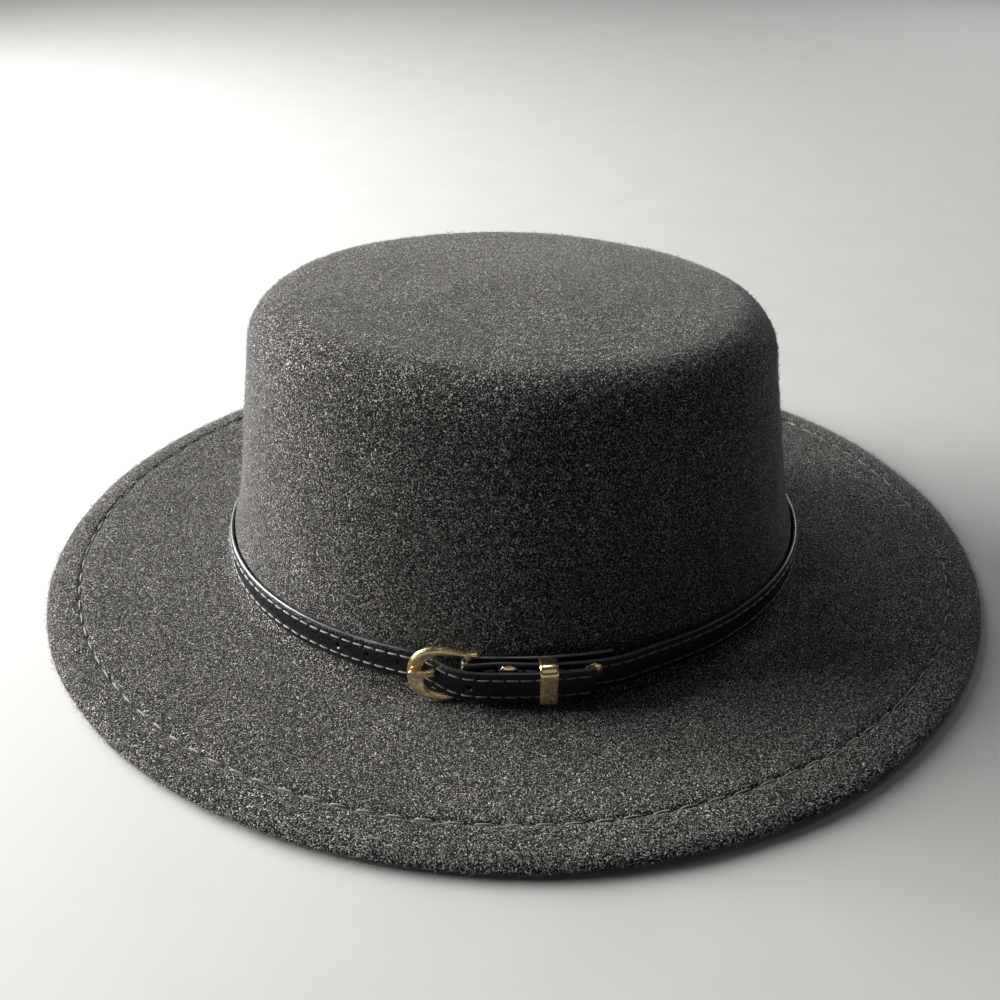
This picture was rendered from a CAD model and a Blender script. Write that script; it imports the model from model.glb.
"""Looks for a black felt wide-brim hat with a narrow buckled strap as its hatband.

Sizes are in millimetres until a mesh is made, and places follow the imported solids.
"""

import math

import bmesh
import bpy
import numpy as np
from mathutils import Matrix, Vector, noise


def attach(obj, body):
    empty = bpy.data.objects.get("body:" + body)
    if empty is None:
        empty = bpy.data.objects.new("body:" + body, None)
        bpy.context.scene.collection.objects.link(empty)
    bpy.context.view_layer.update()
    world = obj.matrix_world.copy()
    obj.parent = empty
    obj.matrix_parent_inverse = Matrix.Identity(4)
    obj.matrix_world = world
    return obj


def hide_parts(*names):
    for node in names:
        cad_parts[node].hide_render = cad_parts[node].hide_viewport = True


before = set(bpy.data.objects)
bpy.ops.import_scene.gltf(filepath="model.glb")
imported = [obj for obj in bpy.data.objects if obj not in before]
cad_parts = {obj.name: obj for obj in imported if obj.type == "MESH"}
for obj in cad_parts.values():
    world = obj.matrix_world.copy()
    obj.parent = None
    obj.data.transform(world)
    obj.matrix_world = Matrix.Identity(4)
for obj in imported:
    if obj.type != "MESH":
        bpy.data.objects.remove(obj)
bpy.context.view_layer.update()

MM = 0.001
TURN = 2 * math.pi
QUARTER = math.pi / 2
rng = np.random.default_rng(41)

# Felt sizes
HALF_LENGTH = 104
HALF_WIDTH = 88
BRIM_WIDTH = 67.9
CROWN_HEIGHT = 100.8
CROWN_TAPER = 13.7
FOOT_FLARE = 0.6
CROWN_BULGE = 0.5
CROWN_TILT = 2.7
CROWN_LEAN = 0.6
DOME_RISE = 1.5
SHOULDER_RADIUS = 17.3
FELT_THICKNESS = 2.3
FOOT_RISE = 3.6
FOOT_RADIUS = 6
CROWN_EDGE = FOOT_RISE + CROWN_HEIGHT
SHOULDER_FOOT = CROWN_EDGE - SHOULDER_RADIUS

# How far the felt comes out behind the strap and just above it, as (heights, outs),
# and where round the crown it lies slack
PRESSED_ROWS = [9.6, 13, 19.3, 20.4, 22, 25, 31, 38], [0, 0.75, 1.95, 2.0, 1.75, 1.15, 0.3, 0]
SLACK_BEARING = 1.58 * math.pi
SLACK_SPREAD = 0.5
SLACK_SHARE = 0.55

# Rows of points in the felt, and their bearings
BEARING_COUNT = 720
OUTER_STEPS = {"top": 12, "shoulder": 12, "side": 26, "foot": 6}
INNER_STEPS = {"top": 5, "shoulder": 5, "side": 4, "foot": 4}
SIDE_CROWDING = 1.7
BRIM_STEPS = 12
RIM_TOP_STEPS = 8
RIM_UNDER_STEPS = 5
GROOVE_SIDES = (1.3, 1, 0.75, 0.55, 0.38, 0.22, 0.1, 0, -0.1, -0.22, -0.38, -0.55, -0.75, -1, -1.3)
UNDER_GROOVE_SIDES = (-1.3, -0.75, -0.5, -0.25, 0, 0.25, 0.5, 0.75, 1.3)

# The felt's hand-shaped unevenness, and where it is left out
BROAD_LUMP = 0.42
BROAD_LUMP_SIZE = 34
SMALL_LUMP = 0.11
SMALL_LUMP_SIZE = 9
SMALL_LUMP_SHIFT = 90
BAND_MIDDLE = 14
BAND_REACH = 10
BAND_OUT = 8
BAND_LUMP_SHARE = 0.06
OVAL_MARGIN = 1.02
CROWN_MARGIN = 3
HEM_UNDERSIDE = 1.5

# Hem sizes
HEM_FULLNESS = 0.6
RIM_ROUND_TOP = 7
RIM_ROUND_UNDER = 3
STITCH_INSET = 10.6
STITCH_DRIFT = 3.4
GROOVE_DEPTH = 0.6
GROOVE_HALF_WIDTH = 2
GROOVE_SPREAD = 0.42
UNDER_GROOVE_DEPTH = 0.45
UNDER_GROOVE_SPREAD = 0.5
HEM_BEYOND_STITCH = 3.5
HEM_EDGE_IN = 0.4
HEM_EDGE_UP = 0.35
RIM_TOP = 2 * FELT_THICKNESS + HEM_FULLNESS

# The hem's stitches, and how the felt is pulled in where the thread goes through
BRIM_STITCH_PITCH = 8.4
BRIM_STITCH_LENGTH = 5.6
BRIM_STITCH_SLIP = 0.25
BRIM_THREAD_RADIUS = 0.3
BRIM_THREAD_SWELL = np.array([0.8, 0.95, 1, 1.04, 1, 0.95, 0.8])
UNDER_THREAD_SHARE = 0.8
PUCKER_DEPTH = 0.4
PUCKER_ALONG = 1.1
PUCKER_ACROSS = 0.5

# Strap sizes
STRAP_WIDTH = 12
STRAP_THICKNESS = 1.5
HALF_STRAP = STRAP_THICKNESS / 2
STRAP_STANDOFF = 0.25
BUCKLE_STANDOFF = 0.6
GAP = 0.3
TIP_REACH = 38
FOLD_REACH = 44.7
STRAP_EASE = 40
BUCKLE_RISE = 1.3
WRAP_RISE = 0.85
FOLD_RISE = 1.05
TIP_DROP = 0.85
MAIN_DIP = 0.15
HOLE_RADIUS = 1
HOLE_RAISE = 0.25
HOLE_SPACING = 11.65
HOLE_COUNTS = (-3, -2, -1, 0, 1)
HOLE_FLARE_ROWS = [(0.45, 0), (0.25, 0.06), (0, 0.3)]
CUTTER_REACH = 0.25
BUCKLE_STEP = 0.9
PLAIN_STEP = 1.5

# The strap's section: the painted edges are rounded, the face is padded between two pressed seams
EDGE_ROUNDING = 0.5
EDGE_FALL = 0.35
PADDING = 0.24
PADDING_SHARES = (0.32, 0.37, 0.43, 0.51, 0.59, 0.65, 0.7)
SEAM_SHARES = (0.235, 0.79)
SEAM_DEPTH = 0.14
SEAM_HALF_WIDTH = 0.55
SEAM_SHARPNESS = 3.2
CREASE_ROWS = {0.45: 0.0, 0.85: 0.1, 0.65: 0.02, 1.05: 0.02}

# The strap's stitches
STRAP_STITCH_PITCH = 4.3
STRAP_STITCH_LENGTH = 3.75
STRAP_STITCH_START = 1.6
STRAP_STITCH_END = 2
STRAP_STITCH_TILT = 0.06
STRAP_PITCH_CHANGE = 0.02
STRAP_THREAD_RADIUS = 0.3
STRAP_THREAD_SWELL = np.array([0.75, 0.95, 1, 1.03, 1, 0.95, 0.75])

# Every stitch is a short bar of thread that dives into the material at both ends
BAR_SHARES = np.array([0, 0.1, 0.28, 0.5, 0.72, 0.9, 1])
BAR_LIFTS = np.array([-1, 0.15, 0.8, 1, 0.8, 0.15, -1])

# Buckle, prong, keeper and rivet sizes
BAR_ALONG = -15.5
BAR_RADIUS = 0.9
FRAME_LENGTH = 18.6
FRAME_HEIGHT = 21
FRAME_DROP = 0.15
FRAME_BREADTH = 4.2
FRAME_THICKNESS = 1.8
FRAME_LIFT = 2.8
FRAME_LEAN = 1.2
LEG_KNOB = 0.28
LEG_END = 0.9
LEG_INSET = 0.76
RIM_ROUNDING = 0.12
PRONG_HOLE_REACH = 10.7
PRONG_WIDTH = 2.4
PRONG_THICKNESS = 1.2
PRONG_RAISE = 1.3
PRONG_SETBACK = 0.8
PRONG_TAPER_REACH = 7
PRONG_TIP_SHARE = 0.86
PRONG_ROUNDING = 0.3
KEEPER_REACH = 23.9
KEEPER_WIDTH = 5.4
KEEPER_HEIGHT = 15.1
KEEPER_WALL = 0.6
KEEPER_CORNER = 0.6
KEEPER_EDGE_ROUNDING = 0.14
KEEPER_BROW_ROUNDING = 3.2
KEEPER_FOOT_ROUNDING = 1.1
RIVET_REACHES = (12.1, 37.6)
RIVET_RISE = 3.0
RIVET_CAP_RADIUS = 2.8
RIVET_CAP_THICKNESS = 0.8
RIVET_BACK_RADIUS = 2.2
RIVET_BACK_THICKNESS = 0.5
RIVET_SHAFT_RADIUS = 1

# Half of the horseshoe's middle line as rows of (reach, rise, breadth), in shares of the frame's
# length, half its height and its greatest breadth
HORSESHOE_ROWS = [
    (-0.17, 0.72, 0.3),
    (0.0, 0.75, 0.34),
    (0.17, 0.8, 0.44),
    (0.34, 0.85, 0.58),
    (0.52, 0.85, 0.76),
    (0.7, 0.74, 0.92),
    (0.83, 0.47, 1),
]

# Half of the frame's section as (across, lift): a flat back, a thin rim and a domed middle
FRAME_SECTION = [(1, -1), (1, 0.12), (0.93, 0.3), (0.87, 0.12), (0.78, 0.42), (0.5, 0.88), (0.17, 1)]

# A rivet's flat back, and its cap with a rolled rim and a dome, as shares of (thickness, radius)
RIVET_BACK_ROWS = [(1, 0.6), (1, 0.92), (0.7, 1), (0, 1)]
RIVET_CAP_ROWS = [
    (0, 0.94), (0.06, 0.985), (0.2, 1), (0.36, 0.975), (0.44, 0.92), (0.42, 0.87),
    (0.5, 0.82), (0.68, 0.7), (0.83, 0.54), (0.94, 0.36), (1, 0.16),
]

# Loose fibre ends, and where they stand
FUZZ_ABOVE_BAND = 22
FUZZ_ABOVE_FLOOR = 2.5
RIM_FUZZ_FLOOR = 1
RIM_FUZZ_SHARE = 0.965
UPWARD = 0.3
LOWEST_FIBRE = 0.3
FIBRE_LENGTH = 1.2
FIBRE_LENGTH_CHANGE = 0.35
FIBRE_BEND = 0.22
FIBRE_ARCH = 0.12
FIBRE_ROOT_DEPTH = 0.06
FIBRE_ANGLES = (0, 2.0944, 4.1888)
FIBRE_FACES = np.array([(0, 2, 1), (0, 3, 2), (0, 1, 3), (4, 1, 2), (4, 2, 3), (4, 3, 1)])


def lerp(low, high, share):
    return low + (high - low) * share


def bell(away, spread):
    """1 in the middle, falling off smoothly to both sides."""
    return np.exp(-((away / spread) ** 2))


def unit(vectors):
    return vectors / np.linalg.norm(vectors, axis=-1, keepdims=True)


def round_angles(count):
    return np.arange(count) * TURN / count


def follow(rows, column, at):
    """Reads rows of (along, out, seat) with a smooth curve through one column."""
    keys = np.array([row[0] for row in rows], float)
    values = np.array([row[column] for row in rows], float)
    at = np.clip(np.asarray(at, float), keys[0], keys[-1])
    slopes = np.zeros(len(keys))
    slopes[1:-1] = (values[2:] - values[:-2]) / (keys[2:] - keys[:-2])
    i = np.clip(np.searchsorted(keys, at, side="right") - 1, 0, len(keys) - 2)
    span = keys[i + 1] - keys[i]
    rise = values[i + 1] - values[i]
    t = (at - keys[i]) / span
    bend = (1 - t) * (slopes[i] * span - rise) - t * (slopes[i + 1] * span - rise)
    return values[i] + t * rise + t * (1 - t) * bend


def out_at(rows, along):
    return float(follow(rows, 1, along))


def seat_at(rows, along):
    return float(follow(rows, 2, along))


def placed(name, data):
    """A new object that holds the data, linked to the scene."""
    made = bpy.data.objects.new(name, data)
    bpy.context.scene.collection.objects.link(made)
    return made


def make_piece(name, points, faces, materials, slot, replaces=()):
    """A mesh piece from points in millimetres. faces has one row of point numbers per face."""
    mesh = bpy.data.meshes.new(name)
    points = np.asarray(points, np.float32).reshape(-1, 3) * MM
    faces = np.asarray(faces, np.int32)
    corners = faces.shape[1]
    mesh.vertices.add(len(points))
    mesh.vertices.foreach_set("co", points.ravel())
    mesh.loops.add(faces.size)
    mesh.loops.foreach_set("vertex_index", faces.ravel())
    mesh.polygons.add(len(faces))
    mesh.polygons.foreach_set("loop_start", np.arange(len(faces), dtype=np.int32) * corners)
    mesh.update(calc_edges=True)
    mesh.shade_smooth()
    for name_of_finish in materials:
        mesh.materials.append(finish(name_of_finish))
    piece = placed(name, mesh)
    if replaces:
        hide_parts(*replaces)
    return piece


def tidy_mesh(piece, smooth_angle=None):
    """Merges doubled points, drops empty faces and keeps edges sharper than the angle crisp."""
    mesh = bmesh.new()
    mesh.from_mesh(piece.data)
    bmesh.ops.remove_doubles(mesh, verts=mesh.verts, dist=2e-7)
    bmesh.ops.dissolve_degenerate(mesh, dist=1e-7, edges=mesh.edges)
    mesh.to_mesh(piece.data)
    mesh.free()
    piece.data.update()
    if smooth_angle is not None:
        piece.data.set_sharp_from_angle(angle=math.radians(smooth_angle))
    return piece


def ring_faces(rings, sides, looped=False):
    """Quads between rings of equal count, each ring closed on itself."""
    spans = rings if looped else rings - 1
    i, k = np.meshgrid(np.arange(spans), np.arange(sides), indexing="ij")
    j, m = (i + 1) % rings, (k + 1) % sides
    quads = np.stack([i * sides + k, i * sides + m, j * sides + m, j * sides + k], axis=-1)
    return quads.reshape(-1, 4)


def outward(points, faces):
    """Turns the quads of a closed mesh outwards if they face in."""
    a, b, c, d = (points[faces[:, k]] for k in range(4))
    volume = np.einsum("ij,ij->i", a, np.cross(b, c)).sum()
    volume += np.einsum("ij,ij->i", a, np.cross(c, d)).sum()
    return faces[:, ::-1] if volume < 0 else faces


def tube_points(rings, looped=False):
    """Points and outward faces of rings shaped (rings, sides, 3). Ends close on their middles."""
    if not looped:
        first, last = (np.repeat(end.mean(axis=0)[None], len(end), axis=0) for end in (rings[0], rings[-1]))
        rings = np.concatenate([[first], rings, [last]])
    points = rings.reshape(-1, 3)
    return points, outward(points, ring_faces(len(rings), rings.shape[1], looped))


def joined(parts):
    """Puts several (points, faces) together as one."""
    points, faces, start = [], [], 0
    for part_points, part_faces in parts:
        points.append(part_points)
        faces.append(part_faces + start)
        start += len(part_points)
    return np.concatenate(points), np.concatenate(faces)


def rounded_outline(corners, radius, steps=3):
    """An outline of (across, up) corners with each corner rounded off."""
    corners = np.asarray(corners, float)
    made = []
    for i, corner in enumerate(corners):
        back = corners[i - 1] - corner
        ahead = corners[(i + 1) % len(corners)] - corner
        near = min(radius, 0.45 * np.linalg.norm(back), 0.45 * np.linalg.norm(ahead))
        start = corner + back / np.linalg.norm(back) * near
        end = corner + ahead / np.linalg.norm(ahead) * near
        for t in np.linspace(0, 1, steps + 1):
            made.append((1 - t) ** 2 * start + 2 * t * (1 - t) * corner + t * t * end)
    return np.array(made)


def running_length(points):
    steps = np.linalg.norm(np.diff(points, axis=0), axis=1)
    return np.concatenate([[0], np.cumsum(steps)])


# The head oval, which the brim, the crown and the band all follow

def oval(out, bearings):
    """Places (x, y) on the head oval grown outwards."""
    return (HALF_LENGTH + out) * np.cos(bearings), (HALF_WIDTH + out) * np.sin(bearings)


def oval_share(x, y, out):
    """1 on the head oval grown outwards, less inside it."""
    return np.hypot(x / (HALF_LENGTH + out), y / (HALF_WIDTH + out))


def stitch_inset(bearings):
    """How far in from the rim the stitch line stands: farther in at the near side."""
    return STITCH_INSET + STITCH_DRIFT * np.maximum(0, -np.sin(bearings))


def stitch_line(bearings):
    """The brim's stitch line seen from above."""
    return np.stack(oval(BRIM_WIDTH - stitch_inset(bearings), bearings), -1)


BEARINGS = round_angles(BEARING_COUNT)
STITCH_AT = stitch_inset(BEARINGS)
FINE_BEARINGS = np.linspace(0, TURN, 8 * BEARING_COUNT + 1)
STITCH_LENGTHS = running_length(stitch_line(FINE_BEARINGS))
STITCH_COUNT = round(STITCH_LENGTHS[-1] / BRIM_STITCH_PITCH)
STITCH_PITCH = STITCH_LENGTHS[-1] / STITCH_COUNT


# The felt body

def side_out(z):
    """How far the crown's side stands out from the head oval at a height."""
    share = np.clip((z - FOOT_RISE) / (SHOULDER_FOOT - FOOT_RISE), 0, 1)
    flare = FOOT_FLARE * (1 - (1 - share) ** 3)
    return 4 * CROWN_BULGE * share * (1 - share) - (CROWN_TAPER - FOOT_FLARE) * share - flare


def pressed_out(z):
    """How far the felt comes out against the strap's back and just above it, least at the buckle's right."""
    return np.interp(z, *PRESSED_ROWS) * (1 - SLACK_SHARE * bell(BEARINGS - SLACK_BEARING, SLACK_SPREAD))


def crown_profile(depth, steps):
    """Rows of (out, share, z) from the top's middle down to the foot, set in by a depth."""
    rows = []
    middle = -CROWN_TAPER - SHOULDER_RADIUS
    for share in np.linspace(0, 1, steps["top"] + 1)[:-1]:
        rows.append((middle, share, CROWN_EDGE - depth + DOME_RISE * (1 - share * share)))
    radius = SHOULDER_RADIUS - depth
    for turn in np.linspace(0, QUARTER, steps["shoulder"] + 1):
        rows.append((middle + radius * math.sin(turn), 1, SHOULDER_FOOT + radius * math.cos(turn)))
    side_foot = FOOT_RISE + FOOT_RADIUS
    turns = np.linspace(0, 1, steps["side"] + 2)[1:-1]
    for z in lerp(SHOULDER_FOOT, side_foot, 1 - (1 - turns) ** SIDE_CROWDING):
        rows.append((side_out(z) - depth + (0 if depth else pressed_out(z)), 1, z))
    bend = FOOT_RADIUS + depth
    for turn in np.linspace(0, QUARTER, steps["foot"] + 1):
        z = side_foot - bend * math.sin(turn)
        rows.append((FOOT_RADIUS - bend * math.cos(turn) + side_out(z), 1, z))
    return rows


def pucker(side):
    """How much deeper the felt is pulled in where the thread goes through."""
    reached = np.interp(BEARINGS, FINE_BEARINGS, STITCH_LENGTHS) % STITCH_PITCH
    pull = np.zeros(BEARINGS.shape)
    for hole in (0, BRIM_STITCH_LENGTH):
        away = np.abs((reached - hole + STITCH_PITCH / 2) % STITCH_PITCH - STITCH_PITCH / 2)
        pull = np.maximum(pull, bell(away, PUCKER_ALONG))
    return PUCKER_DEPTH * pull * bell(side, PUCKER_ACROSS)


def brim_profile():
    """Rows of (out, share, z) from the foot's bend over the brim to the hem's raw edge."""
    middle = RIM_TOP / 2
    plateau = STITCH_AT + 2 * GROOVE_HALF_WIDTH
    panel = BRIM_WIDTH - FOOT_RADIUS - plateau
    rows = []

    def on_brim(inset, z):
        rows.append((BRIM_WIDTH - inset, 1, z))

    for share in np.linspace(0, 1, BRIM_STEPS + 1)[1:]:
        on_brim(plateau + panel * (1 - share), lerp(FOOT_RISE, RIM_TOP, share * share))
    for side in GROOVE_SIDES:
        sink = GROOVE_DEPTH * bell(side, GROOVE_SPREAD)
        on_brim(STITCH_AT + side * GROOVE_HALF_WIDTH, RIM_TOP - sink - pucker(side))
    for turn in np.linspace(0, QUARTER, RIM_TOP_STEPS + 1):
        on_brim(RIM_ROUND_TOP * (1 - math.sin(turn)), lerp(middle, RIM_TOP, math.cos(turn)))
    for turn in np.linspace(0, QUARTER, RIM_UNDER_STEPS + 1)[1:]:
        on_brim(RIM_ROUND_UNDER * (1 - math.cos(turn)), middle * (1 - math.sin(turn)))
    on_brim(0.5 * (RIM_ROUND_UNDER + STITCH_AT), 0)
    for side in UNDER_GROOVE_SIDES:
        on_brim(STITCH_AT + side, UNDER_GROOVE_DEPTH * bell(side, UNDER_GROOVE_SPREAD))
    hem_edge = STITCH_AT + HEM_BEYOND_STITCH
    on_brim(hem_edge - HEM_EDGE_IN, 0)
    on_brim(hem_edge, HEM_EDGE_UP)
    on_brim(hem_edge + 0.05 * FELT_THICKNESS, 0.5 * FELT_THICKNESS)
    on_brim(hem_edge + 0.2 * FELT_THICKNESS, RIM_TOP - FELT_THICKNESS)
    for share in (0.8, 0.6, 0.4, 0.2):
        rise = lerp(FOOT_RISE, RIM_TOP, share * share) - FELT_THICKNESS
        on_brim(plateau + panel * (1 - share), rise)
    return rows


def felt_rings():
    rings = []
    inner = crown_profile(FELT_THICKNESS, INNER_STEPS)
    for out, share, z in [*crown_profile(0, OUTER_STEPS), *brim_profile(), *inner[::-1]]:
        x = (HALF_LENGTH + out) * share * np.cos(BEARINGS)
        y = (HALF_WIDTH + out) * share * np.sin(BEARINGS)
        height = np.clip((z - FOOT_RISE) / CROWN_HEIGHT, 0, 1)
        z = z - CROWN_TILT * height * x / HALF_LENGTH
        rings.append(np.stack([x - CROWN_LEAN * height, y, z], axis=-1))
    return np.array(rings)


def soft_unevenness(points, normals):
    """Small hand-shaped unevenness of the felt, left out near the band and under the hem."""
    x, y, z = points.T
    near_band = (np.abs(z - BAND_MIDDLE) < BAND_REACH) & (oval_share(x, y, BAND_OUT) < OVAL_MARGIN)
    size = np.where(near_band, BAND_LUMP_SHARE, 1) * (z >= HEM_UNDERSIDE)
    broad = [noise.noise(Vector(point) / BROAD_LUMP_SIZE) for point in points]
    shifted = points + np.array([0, 0, SMALL_LUMP_SHIFT])
    small = [noise.noise(Vector(point) / SMALL_LUMP_SIZE) for point in shifted]
    lump = BROAD_LUMP * np.array(broad) + SMALL_LUMP * np.array(small)
    return points + normals * size[:, None] * lump[:, None]


def felt_piece():
    rings = felt_rings()
    points = rings.reshape(-1, 3)
    faces = outward(points, ring_faces(len(rings), BEARING_COUNT))
    felt = tidy_mesh(make_piece("felt_hat", points, faces, ["black_felt"], "felt", ["felt_body"]))
    vertices = felt.data.vertices
    places, normals = np.zeros(len(vertices) * 3), np.zeros(len(vertices) * 3)
    vertices.foreach_get("co", places)
    vertices.foreach_get("normal", normals)
    places = soft_unevenness(places.reshape(-1, 3) / MM, normals.reshape(-1, 3))
    vertices.foreach_set("co", (places * MM).ravel())
    felt.data.update()
    return felt


# The band: a place on it is a length along from the middle of the buckle's side towards +X,
# a distance out from the head oval, and a height

STRAP_OUT = STRAP_STANDOFF + HALF_STRAP
GIRTH_BEARINGS = np.linspace(-QUARTER, -QUARTER + TURN, 2881)
GIRTH_LENGTHS = running_length(np.stack(oval(STRAP_OUT, GIRTH_BEARINGS), -1))
GIRTH = GIRTH_LENGTHS[-1]


def on_band(along, out, z):
    along, out, z = np.broadcast_arrays(np.asarray(along, float), out, z)
    bearing = np.interp(np.mod(along, GIRTH), GIRTH_LENGTHS, GIRTH_BEARINGS)
    return np.stack([*oval(out, bearing), z], axis=-1)


def foot_height(out):
    """The height on the foot's bend where the felt stands this far out."""
    low, high = FOOT_RISE, FOOT_RISE + FOOT_RADIUS
    for _ in range(24):
        z = (low + high) / 2
        bend = FOOT_RADIUS - math.sqrt(FOOT_RADIUS ** 2 - (FOOT_RISE + FOOT_RADIUS - z) ** 2)
        if bend + side_out(z) > out:
            low = z
        else:
            high = z
    return low


STRAP_SEAT = foot_height(STRAP_STANDOFF - 1.5 * GAP)
BUCKLE_SEAT = STRAP_SEAT + BUCKLE_RISE
WRAP_SEAT = STRAP_SEAT + WRAP_RISE
FOLD_SEAT = STRAP_SEAT + FOLD_RISE
TIP_SEAT = STRAP_SEAT - TIP_DROP
FRAME_MIDDLE = BUCKLE_SEAT + STRAP_WIDTH / 2 - FRAME_DROP
WRAP_RADIUS = BAR_RADIUS + GAP + HALF_STRAP
BAR_OUT = BUCKLE_STANDOFF + WRAP_RADIUS + HALF_STRAP
BEHIND_BAR = BAR_OUT - WRAP_RADIUS
BEFORE_BAR = BAR_OUT + WRAP_RADIUS
FOLD_OUT = GAP + HALF_STRAP
MAIN_OUT = FOLD_OUT + STRAP_THICKNESS + KEEPER_WALL + 2 * GAP
TIP_OUT = MAIN_OUT + STRAP_THICKNESS + RIVET_CAP_THICKNESS + 2 * GAP
OVER_BAR = BEFORE_BAR + STRAP_THICKNESS + GAP
FRAME_END_OUT = BAR_OUT + FRAME_LIFT
WINDOW_REACH = 0.55 * FRAME_LENGTH


def sheet_out(reach, rise=0.0):
    """The buckle's sheet lifts towards the closed end, and its lower half leans out."""
    lean = FRAME_LEAN * np.maximum(0, -np.asarray(rise)) / (FRAME_HEIGHT / 2)
    return BAR_OUT + (FRAME_LIFT + lean) * reach / FRAME_LENGTH


UNDER_FRAME = float(sheet_out(WINDOW_REACH)) - FRAME_THICKNESS / 2 - 1.5 * GAP - HALF_STRAP
FRAME_END_ALONG = BAR_ALONG - FRAME_LENGTH
PRONG_HOLE_ALONG = BAR_ALONG - PRONG_HOLE_REACH
RIVET_NEAR = BAR_ALONG + RIVET_REACHES[0]
KEEPER_ALONG = BAR_ALONG + KEEPER_REACH
TIP_ALONG = BAR_ALONG + TIP_REACH
FOLD_ALONG = BAR_ALONG + FOLD_REACH

# Rows of (along, out, seat)
TIP_ROWS = [
    (FRAME_END_ALONG - 0.55 * STRAP_EASE, STRAP_OUT, STRAP_SEAT),
    (FRAME_END_ALONG - 0.2 * STRAP_EASE, lerp(STRAP_OUT, UNDER_FRAME, 0.5),
     lerp(STRAP_SEAT, BUCKLE_SEAT, 0.6)),
    (FRAME_END_ALONG, UNDER_FRAME, BUCKLE_SEAT),
    (BAR_ALONG - 0.76 * FRAME_LENGTH, UNDER_FRAME, lerp(TIP_SEAT, BUCKLE_SEAT, 0.82)),
    (BAR_ALONG - WINDOW_REACH, lerp(UNDER_FRAME, OVER_BAR, 0.3), lerp(TIP_SEAT, BUCKLE_SEAT, 0.56)),
    (BAR_ALONG - 0.3 * FRAME_LENGTH, lerp(UNDER_FRAME, OVER_BAR, 0.78), lerp(TIP_SEAT, STRAP_SEAT, 0.85)),
    (BAR_ALONG, OVER_BAR, lerp(TIP_SEAT, STRAP_SEAT, 0.2)),
    (RIVET_NEAR, lerp(OVER_BAR, TIP_OUT, 0.7), TIP_SEAT),
    (KEEPER_ALONG, TIP_OUT, TIP_SEAT),
    (TIP_ALONG, TIP_OUT, TIP_SEAT),
]
MAIN_ROWS = [
    (BAR_ALONG, BEFORE_BAR, WRAP_SEAT),
    (lerp(BAR_ALONG, RIVET_NEAR, 0.35), lerp(MAIN_OUT, BEFORE_BAR, 0.5), WRAP_SEAT),
    (RIVET_NEAR - RIVET_CAP_RADIUS - GAP, MAIN_OUT, WRAP_SEAT),
    (RIVET_NEAR, MAIN_OUT, WRAP_SEAT),
    (KEEPER_ALONG, MAIN_OUT, lerp(STRAP_SEAT, WRAP_SEAT, 0.35)),
    (FOLD_ALONG, MAIN_OUT, STRAP_SEAT - MAIN_DIP),
    (FOLD_ALONG + 0.4 * STRAP_EASE, lerp(STRAP_OUT, MAIN_OUT, 0.3), STRAP_SEAT - MAIN_DIP),
    (FOLD_ALONG + STRAP_EASE, lerp(STRAP_OUT, MAIN_OUT, 0.06), STRAP_SEAT - MAIN_DIP),
    (FOLD_ALONG + 1.5 * STRAP_EASE, STRAP_OUT, STRAP_SEAT),
]
FOLD_ROWS = [
    (BAR_ALONG, BEHIND_BAR, WRAP_SEAT),
    (lerp(BAR_ALONG, RIVET_NEAR, 0.5), lerp(FOLD_OUT, BEHIND_BAR, 0.25), WRAP_SEAT),
    (RIVET_NEAR, FOLD_OUT, FOLD_SEAT),
    (FOLD_ALONG, FOLD_OUT, FOLD_SEAT),
]


def strap_run(rows, start, end, step):
    count = max(1, round(abs(end - start) / step))
    along = np.linspace(start, end, count + 1)
    return np.stack([along, follow(rows, 1, along), follow(rows, 2, along)], axis=-1)


def strap_route():
    """The strap's centre line as rows of (along, out, seat), from the tip to the folded end."""
    plain_start, plain_end = TIP_ROWS[0][0], MAIN_ROWS[-1][0]
    tip = strap_run(TIP_ROWS, TIP_ALONG, plain_start, BUCKLE_STEP)
    plain = [(0, STRAP_OUT, STRAP_SEAT), (1, STRAP_OUT, STRAP_SEAT)]
    around = strap_run(plain, plain_start, plain_end - GIRTH, PLAIN_STEP)[1:-1]
    main = strap_run(MAIN_ROWS, plain_end, BAR_ALONG, BUCKLE_STEP)
    turns = np.linspace(0, math.pi, 15)[1:-1]
    wrap = np.stack([
        BAR_ALONG - WRAP_RADIUS * np.sin(turns),
        BAR_OUT + WRAP_RADIUS * np.cos(turns),
        np.full(turns.shape, WRAP_SEAT),
    ], axis=-1)
    fold = strap_run(FOLD_ROWS, BAR_ALONG, FOLD_ALONG, BUCKLE_STEP)
    last = np.concatenate([main, wrap, fold])
    last[:, 0] -= GIRTH
    return np.concatenate([tip, around, last])


def finished_side(route):
    """For each row of a route, the unit step in (along, out) towards the strap's finished face."""
    before = np.concatenate([route[:1], route[:-1]])
    after = np.concatenate([route[1:], route[-1:]])
    across = np.stack([after[:, 1] - before[:, 1], before[:, 0] - after[:, 0]], axis=-1)
    return unit(across)


def swept(route, outlines):
    """Rings of an outline of (towards the finished face, up) carried along a route."""
    rings = []
    for (along, out, seat), (step_along, step_out), outline in zip(route, finished_side(route), outlines):
        towards, up = outline.T
        rings.append(on_band(along + towards * step_along, out + towards * step_out, seat + up))
    return np.array(rings)


def turned_pin(along, z, profile, sides=28):
    """Points and faces of a round pin through the band, from rows of (out, radius)."""
    angles = round_angles(sides)
    return tube_points(np.array([
        on_band(along + radius * np.cos(angles), out, z + radius * np.sin(angles)) for out, radius in profile
    ]))


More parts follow.
